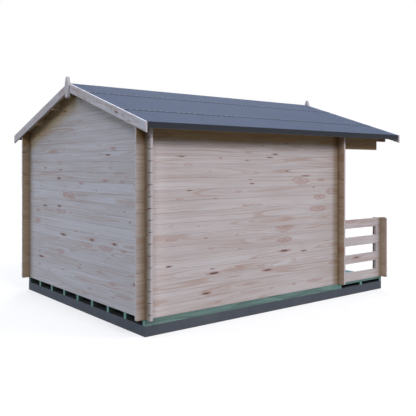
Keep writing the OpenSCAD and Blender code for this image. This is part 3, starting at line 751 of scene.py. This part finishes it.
class Boards(Piece):
    """Chamfered boards, each with its own grain and seed."""

    def __init__(self, name, slot, material):
        super().__init__(name, slot, material)
        self.grain = self.bm.verts.layers.float_vector.new("grain")
        self.seed = self.bm.verts.layers.float.new("seed")
        self.end = self.bm.faces.layers.float.new("end")

    def prism(self, outline, thickness, chamfer, placed, grain_turn=0.0):
        """A board from its outline, in its own X and Y, with its thickness along Z.

        placed puts it in the frame. grain_turn is the angle of the grain from its X axis."""
        points = [Vector(p) for p in outline]
        count = len(points)
        inner = []
        for i, point in enumerate(points):
            before = (point - points[i - 1]).normalized()
            after = (points[(i + 1) % count] - point).normalized()
            inward_a, inward_b = Vector((-before.y, before.x)), Vector((-after.y, after.x))
            corner = inward_a + inward_b
            inner.append(point + corner * (chamfer / (1 + inward_a.dot(inward_b))))
        levels = [(inner, 0.0), (points, chamfer), (points, thickness - chamfer),
                  (inner, thickness)]
        loops, faces = self.skin([[placed @ Vector((p.x, p.y, height)) for p in ring]
                                  for ring, height in levels])
        seed = chance.random() * 50
        start = chance.random() * 9
        centre = sum(points, Vector((0, 0))) / count
        turn = Matrix.Rotation(-grain_turn, 2)
        for (ring, height), loop in zip(levels, loops):
            for p, vert in zip(ring, loop):
                local = turn @ (p - centre)
                vert[self.grain] = (local.x + start, local.y, height)
                vert[self.seed] = seed
        for k, face in enumerate(faces[2:]):
            i = k % count
            edge = turn @ (points[(i + 1) % count] - points[i]).normalized()
            face[self.end] = 1.0 if abs(edge.y) > 0.8 else 0.0

    def board(self, centre, size, axes, chamfer=0.0015):
        """A straight board. axes are the directions of its length, width and thickness."""
        length, width, thickness = size
        along, across, through = (Vector(a).normalized() for a in axes)
        turn = Matrix((along, across, through)).transposed().to_4x4()
        placed = Matrix.Translation(Vector(centre)) @ turn
        placed = placed @ Matrix.Translation((0, 0, -thickness / 2))
        x, y = length / 2, width / 2
        self.prism([(-x, -y), (x, -y), (x, y), (-x, y)], thickness, chamfer, placed)


X_AXIS, Y_AXIS, Z_AXIS = Vector((1, 0, 0)), Vector((0, 1, 0)), Vector((0, 0, 1))
# Turns an outline in X and Y into an upright one in X and Z
UPRIGHT = Matrix(((1, 0, 0, 0), (0, 0, 1, 0), (0, 1, 0, 0), (0, 0, 0, 1)))


def lay_roof(side, node):
    """Chamfered boards that run down one slope, side by side from gable to gable."""
    roof = Boards(node + "_laid", "sawn_boards", ROOF_BOARDS)
    low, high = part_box(node)
    down = Vector((side * math.cos(ROOF_PITCH), 0, -math.sin(ROOF_PITCH)))
    up = Vector((side * math.sin(ROOF_PITCH), 0, math.cos(ROOF_PITCH)))
    length = abs(high.x - low.x) / math.cos(ROOF_PITCH) - 0.012
    under_ridge = Vector((side * min(abs(low.x), abs(high.x)), 0, ROOF_UNDER_Z))
    count = round((high.y - low.y) / 0.0875)
    pitch = (high.y - low.y) / count
    for i in range(count):
        centre = under_ridge + down * (length / 2 + 0.007) + up * (BOARD_THICKNESS / 2)
        centre.y = low.y + (i + 0.5) * pitch
        roof.board(centre, (length, pitch - 0.0006, BOARD_THICKNESS), (down, Y_AXIS, up),
                   chamfer=0.003)
    roof.finish(node)


lay_roof(1, "right_roof_boards")
lay_roof(-1, "left_roof_boards")


def lay_floor(node, slot, material, board_width, gap, along_x, chamfer):
    """Boards side by side that fill a floor's solid. Returns their middle lines."""
    floor = Boards(node + "_laid", slot, material)
    low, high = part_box(node)
    size, middle = high - low, (low + high) / 2
    run = size.y if along_x else size.x
    count = round((run + gap) / (board_width + gap))
    pitch = (run + gap) / count
    lines = [(i + 0.5) * pitch - gap / 2 + (low.y if along_x else low.x) for i in range(count)]
    for line in lines:
        if along_x:
            floor.board((middle.x, line, middle.z), (size.x, pitch - gap, size.z),
                        (X_AXIS, Y_AXIS, Z_AXIS), chamfer)
        else:
            floor.board((line, middle.y, middle.z), (size.y, pitch - gap, size.z),
                        (Y_AXIS, -X_AXIS, Z_AXIS), chamfer)
    floor.finish(node)
    return lines


lay_floor("room_floor", "sawn_boards", ROOF_BOARDS, 0.087, 0.0006, True, 0.0015)
DECK_LINES = lay_floor("porch_deck", "treated_timber", TREATED_BOARDS, 0.120, 0.005, False,
                       0.003)


def outline_of(node):
    """The corner points of an upright board's solid in X and Z, in order."""
    points = {}
    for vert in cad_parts[node].data.vertices:
        points[round(vert.co.x, 4), round(vert.co.z, 4)] = vert.co.xz
    flat = list(points.values())
    centre = sum(flat, Vector((0, 0))) / len(flat)
    return sorted(flat, key=lambda p: math.atan2(p.y - centre.y, p.x - centre.x))


def ease_edges(node, chamfer, grain_turn, material=PLANED_BOARDS):
    """An upright board with its edges eased, in place of its solid."""
    eased = Boards(node + "_eased", "planed_spruce", material)
    low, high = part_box(node)
    placed = Matrix.Translation((0, low.y, 0)) @ UPRIGHT
    eased.prism(outline_of(node), high.y - low.y, chamfer, placed, grain_turn)
    eased.finish(node)


for place in ("rear", "front"):
    ease_edges(f"{place}_right_bargeboard", 0.003, -ROOF_PITCH)
    ease_edges(f"{place}_left_bargeboard", 0.003, ROOF_PITCH)
    ease_edges(f"{place}_finial", 0.002, math.pi / 2, FINIAL_WOOD)
ease_edges("left_fascia", 0.001, 0.0)
ease_edges("right_fascia", 0.001, 0.0)


# ---------- door ----------

HANDLE_BELOW_TOP = 0.084
HINGE_LENGTH = 0.090
STILE = 0.095
BOTTOM_RAIL = 0.150
PANEL_HEIGHT = 0.560
GLASS_BITE = 0.008
PANE = [vert.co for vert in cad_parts["door_glass"].data.vertices if vert.co.x > 0]
GLASS_LOW_Z = min(p.z for p in PANE) + GLASS_BITE
GLASS_HIGH_Z = max(p.z for p in PANE) - GLASS_BITE


# Directions of the length, width and thickness of the door's upright and level pieces
STANDING = Z_AXIS, X_AXIS, Y_AXIS
LYING = X_AXIS, Z_AXIS, -Y_AXIS


def join_leaf(side):
    """One leaf: stiles and rails round a raised panel, with beads at the panel and the pane."""
    node = f"{side}_door"
    leaf = Boards(node + "_joined", "planed_spruce", DOOR_BOARDS)
    low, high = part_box(node)
    middle = (low + high) / 2
    depth = high.y - low.y
    height = high.z - low.z
    inner_width = high.x - low.x - 2 * STILE
    for x in (low.x + STILE / 2, high.x - STILE / 2):
        leaf.board((x, middle.y, middle.z), (height, STILE, depth), STANDING)
    panel_low, panel_high = low.z + BOTTOM_RAIL, low.z + BOTTOM_RAIL + PANEL_HEIGHT
    for z0, z1 in ((low.z, panel_low), (panel_high, GLASS_LOW_Z), (GLASS_HIGH_Z, high.z)):
        leaf.board((middle.x, middle.y, (z0 + z1) / 2), (inner_width, z1 - z0, depth),
                   LYING)
    # The panel's thin edge, then its raised middle
    for inset, thickness, chamfer in ((0.0, 0.018, 0.0005), (0.045, 0.030, 0.006)):
        leaf.board((middle.x, middle.y, (panel_low + panel_high) / 2),
                   (PANEL_HEIGHT - 2 * inset, inner_width - 2 * inset, thickness),
                   STANDING, chamfer)
    for z0, z1, gap, width, section in ((panel_low, panel_high, 0.009, 0.009, 0.007),
                                        (GLASS_LOW_Z, GLASS_HIGH_Z, 0.002, 0.011, 0.014)):
        for face in (-1, 1):
            y = middle.y + face * (gap + section / 2)
            for z in (z0 + width / 2, z1 - width / 2):
                leaf.board((middle.x, y, z), (inner_width, width, section),
                           LYING, 0.003)
            for x in (low.x + STILE + width / 2, high.x - STILE - width / 2):
                leaf.board((x, y, (z0 + z1) / 2), (z1 - z0 - 2 * width, width, section),
                           STANDING, 0.003)
    leaf.finish(node)


join_leaf("left")
join_leaf("right")


def fit_handle():
    """A lever handle on a round-ended plate, outside and inside the leaf."""
    low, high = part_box("door_handle")
    leaf_low, leaf_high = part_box("right_door")
    plate = [vert.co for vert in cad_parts["door_handle"].data.vertices
             if abs(vert.co.y - leaf_low.y) < 0.001 or abs(vert.co.y - leaf_high.y) < 0.001]
    left, right = min(p.x for p in plate), max(p.x for p in plate)
    bottom, top = min(p.z for p in plate), max(p.z for p in plate)
    x, half = (left + right) / 2, (right - left) / 2
    lever_z = high.z - HANDLE_BELOW_TOP
    handle = Piece("door_handle_lever", "plated_steel", STEEL)
    # The keyholes are dark solids, painted shade in place of the holes
    keyholes = Piece("door_keyhole_shadows", "plated_steel", keyhole_material())
    for face, leaf_y in ((-1, leaf_low.y), (1, leaf_high.y)):
        def ring(inset, y):
            points = []
            for centre, start in ((top - half, 0.0), (bottom + half, math.pi)):
                for k in range(9):
                    angle = start + math.pi * k / 8
                    points.append((x + (half - inset) * math.cos(angle), y,
                                   centre + (half - inset) * math.sin(angle)))
            return points

        handle.skin([ring(0.0, leaf_y), ring(0.0, leaf_y + face * 0.002),
                     ring(0.001, leaf_y + face * 0.003)])
        out = Matrix.Rotation(-face * math.pi / 2, 4, "X")
        handle.turned([(0.015, 0.0), (0.015, 0.005), (0.013, 0.007)],
                      Matrix.Translation((x, leaf_y, lever_z)) @ out, 24)
        reach = abs((low.y if face < 0 else high.y) - leaf_y) - 0.0085
        bend = 0.012
        path = [(x, leaf_y + face * d, lever_z) for d in (0.003, 0.012, reach - bend)]
        path += [(x + bend * (1 - math.cos(a)),
                  leaf_y + face * (reach - bend * (1 - math.sin(a))), lever_z)
                 for a in (math.pi * k / 12 for k in range(1, 6))]
        end = high.x - x
        path += [(x + d, leaf_y + face * reach, lever_z)
                 for d in (bend, 0.03, end / 2, end - 0.012, end - 0.003, end - 0.0005)]
        radii = [0.0078] * 9 + [0.0082, 0.0072, 0.0074, 0.0060, 0.0025]
        handle.rod(path, radii)
        slot_low, slot_high = bottom + 0.050, bottom + 0.062
        keyhole = Matrix.Translation((x, leaf_y + face * 0.0025, slot_high)) @ out
        handle.turned([(0.0100, 0.0), (0.0100, 0.0010), (0.0085, 0.0018)], keyhole, 24)
        keyholes.turned([(0.0045, 0.0), (0.0045, 0.0021), (0.0040, 0.0022)], keyhole, 16)
        keyholes.skin([[(x + dx, y, z) for dx, z in
                        ((-0.003, slot_low), (0.003, slot_low), (0.002, slot_high),
                         (-0.002, slot_high))]
                       for y in (leaf_y + face * 0.0026, leaf_y + face * 0.0046)])
    handle.finish("door_handle")
    keyholes.finish()
    return x, bottom, top


HANDLE_X, PLATE_LOW_Z, PLATE_HIGH_Z = fit_handle()


# ---------- nails and screws ----------


class Heads(Piece):
    """Domed heads of nails and screws, set on the solids where a ray meets them."""

    trees = {}

    def __init__(self, name):
        super().__init__(name, "plated_steel", STEEL)

    def set(self, node, start, toward, radius):
        if node not in self.trees:
            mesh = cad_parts[node].data
            self.trees[node] = BVHTree.FromPolygons([v.co for v in mesh.vertices],
                                                    [p.vertices for p in mesh.polygons])
        start = Vector(start)
        spot, normal, _, _ = self.trees[node].ray_cast(start, Vector(toward))
        if spot is None:
            return
        if normal.dot(Vector(toward)) > 0:
            normal = -normal
        turn = normal.to_track_quat("Z", "Y").to_matrix().to_4x4()
        height = 0.35 * radius
        self.turned([(radius, -0.0005), (radius, 0.3 * height), (0.8 * radius, 0.8 * height),
                     (0.4 * radius, height)], Matrix.Translation(spot) @ turn, 10)


def spaced(low, high, step):
    """Places from low to high, about a step apart."""
    count = max(1, round((high - low) / step))
    return [low + (high - low) * i / count for i in range(count + 1)]


def nail_felt():
    """Clout nails along the laps."""
    nails = Heads("felt_nails")
    low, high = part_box("ridge_felt")
    from_lap, step = 0.022, 0.075
    for side in (-1, 1):
        name = "right" if side > 0 else "left"
        for node, lap in (("ridge_felt", LAPS_X[0]), (f"{name}_middle_felt", LAPS_X[1])):
            for y in spaced(low.y + 0.03, high.y - 0.03, step):
                nails.set(node, (side * (lap - from_lap), y, 3.0), -Z_AXIS, 0.005)
    nails.finish()


nail_felt()


def screw_trim():
    """Pairs of screws in the bargeboards, at the purlins."""
    screws = Heads("trim_screws")
    for place, face in (("rear", 1), ("front", -1)):
        for side in (-1, 1):
            node = f"{place}_{'right' if side > 0 else 'left'}_bargeboard"
            low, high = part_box(node)
            width = high.x - low.x
            inner = min(abs(low.x), abs(high.x))
            for share in (0.04, 0.27, 0.5, 0.73, 0.96):
                x = inner + share * width
                edge_z = high.z - (x - inner) * math.tan(ROOF_PITCH)
                for drop in (0.028, 0.075):
                    screws.set(node, (side * x, face * 3, edge_z - drop), (0, -face, 0), 0.0038)
    screws.finish()


screw_trim()


def screw_deck():
    """Two screws in each deck board, over each porch bearer."""
    screws = Heads("deck_screws")
    low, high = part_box("porch_deck")
    for y in (low.y + 0.022, (low.y + high.y) / 2, high.y - 0.022):
        for line in DECK_LINES:
            for offset in (-0.032, 0.032):
                screws.set("porch_deck", (line + offset, y, 1.0), (0, 0, -1), 0.004)
    screws.finish()


screw_deck()


def screw_door():
    """Screws in the hinges' flaps and in the handle's plates."""
    screws = Heads("door_screws")
    low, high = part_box("door_hinges")
    middles = sorted({round(v.co.z, 3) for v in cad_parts["door_hinges"].data.vertices})
    starts = [z for z in middles if not any(0 < z - other < 0.1 for other in middles)]
    for side in (-1, 1):
        barrel = side * (high.x - 0.028)
        for z in starts:
            for share in (0.15, 0.5, 0.85):
                for offset in (-0.019, 0.019):
                    place = barrel + offset, low.y - 0.1, z + share * HINGE_LENGTH
                    screws.set("door_hinges", place, Y_AXIS, 0.0035)
    for face in (-1, 1):
        for z in (PLATE_LOW_Z + 0.012, PLATE_HIGH_Z - 0.012):
            screws.set("door_handle", (HANDLE_X, low.y + face * 0.5, z), (0, -face, 0), 0.003)
    screws.finish()


screw_door()


# ---------- studio ----------


def seen_by_eye(t):
    """1 where the camera, a reflection or the glass looks, 0 where only light arrives."""
    path = t.node("LightPath").outputs
    return t.greatest(path["Is Camera Ray"], path["Is Glossy Ray"],
                      path["Is Transmission Ray"])


def light_room():
    """A soft pale sky, which the camera and reflections see as plain white."""
    world = bpy.data.worlds.new("soft_sky")
    world.use_nodes = True
    bpy.context.scene.world = world
    t = Tree(world.node_tree)
    height = t.split(t.node("TexCoord").outputs["Generated"])[2]
    sky = t.ramp(height, (0.0, (0.08, 0.08, 0.09, 1)), (0.35, (0.30, 0.33, 0.38, 1)),
                 (0.75, (0.95, 1.0, 1.1, 1)))
    light = t.node("Background", {"Color": sky, "Strength": 0.75})
    white = t.node("Background", {"Color": (1, 1, 1, 1), "Strength": 1.0})
    chosen = t.node("MixShader", {0: seen_by_eye(t), 1: light.outputs[0],
                                  2: white.outputs[0]})
    t.feed(t.node("OutputWorld").inputs[0], chosen.outputs[0])


def hazy_sun(name, toward, strength, colour):
    """Light from one side of the sky. Strength 1 shows a white facing it as white."""
    data = bpy.data.lights.new(name, "SUN")
    data.energy = strength * math.pi
    data.angle = math.radians(20)
    data.color = colour
    lamp = bpy.data.objects.new(name, data)
    lamp.rotation_euler = Vector(toward).to_track_quat("Z", "Y").to_euler()
    bpy.context.scene.collection.objects.link(lamp)


def floor_plane():
    size = 40.0
    mesh = bpy.data.meshes.new("floor")
    mesh.from_pydata([(-size, -size, 0), (size, -size, 0), (size, size, 0), (-size, size, 0)],
                     [], [(0, 1, 2, 3)])
    material, t = new_material("pale_floor")
    glow = t.node("Emission", {"Color": (1, 1, 1, 1), "Strength": 0.5})
    half = t.node("BsdfDiffuse", {"Color": (0.5, 0.5, 0.5, 1)})
    bright = t.node("AddShader", {0: half.outputs[0], 1: glow.outputs[0]})
    dim = t.node("BsdfDiffuse", {"Color": (0.22, 0.22, 0.22, 1)})
    chosen = t.node("MixShader", {0: seen_by_eye(t), 1: dim.outputs[0],
                                  2: bright.outputs[0]})
    t.feed(t.node("OutputMaterial").inputs[0], chosen.outputs[0])
    mesh.materials.append(material)
    floor = bpy.data.objects.new("floor", mesh)
    bpy.context.scene.collection.objects.link(floor)


def camera():
    data = bpy.data.cameras.new("camera")
    data.lens = 51.93
    data.sensor_width = 36
    data.shift_y = -0.0995
    eye = bpy.data.objects.new("camera", data)
    eye.location = (-6.445, 5.068, 1.670)
    look = Vector((0.7838, -0.6211, 0.0))
    eye.rotation_euler = look.to_track_quat("-Z", "Y").to_euler()
    bpy.context.scene.collection.objects.link(eye)
    bpy.context.scene.camera = eye


light_room()
hazy_sun("side_light", (-1.0, 0.0, 0.70), 0.36, (1.0, 0.99, 1.01))
hazy_sun("near_light", (-0.70, 0.71, 0.60), 0.36, (1.0, 0.98, 1.0))
hazy_sun("far_light", (-0.707, -0.707, 0.60), 0.24, (1.0, 0.97, 0.97))
hazy_sun("rear_light", (0.55, 0.83, 0.30), 0.255, (0.76, 0.91, 1.08))
hazy_sun("porch_light", (0.75, -0.60, 0.50), 0.30, (1.0, 0.98, 0.98))
floor_plane()
camera()
bpy.context.scene.view_settings.view_transform = "Standard"
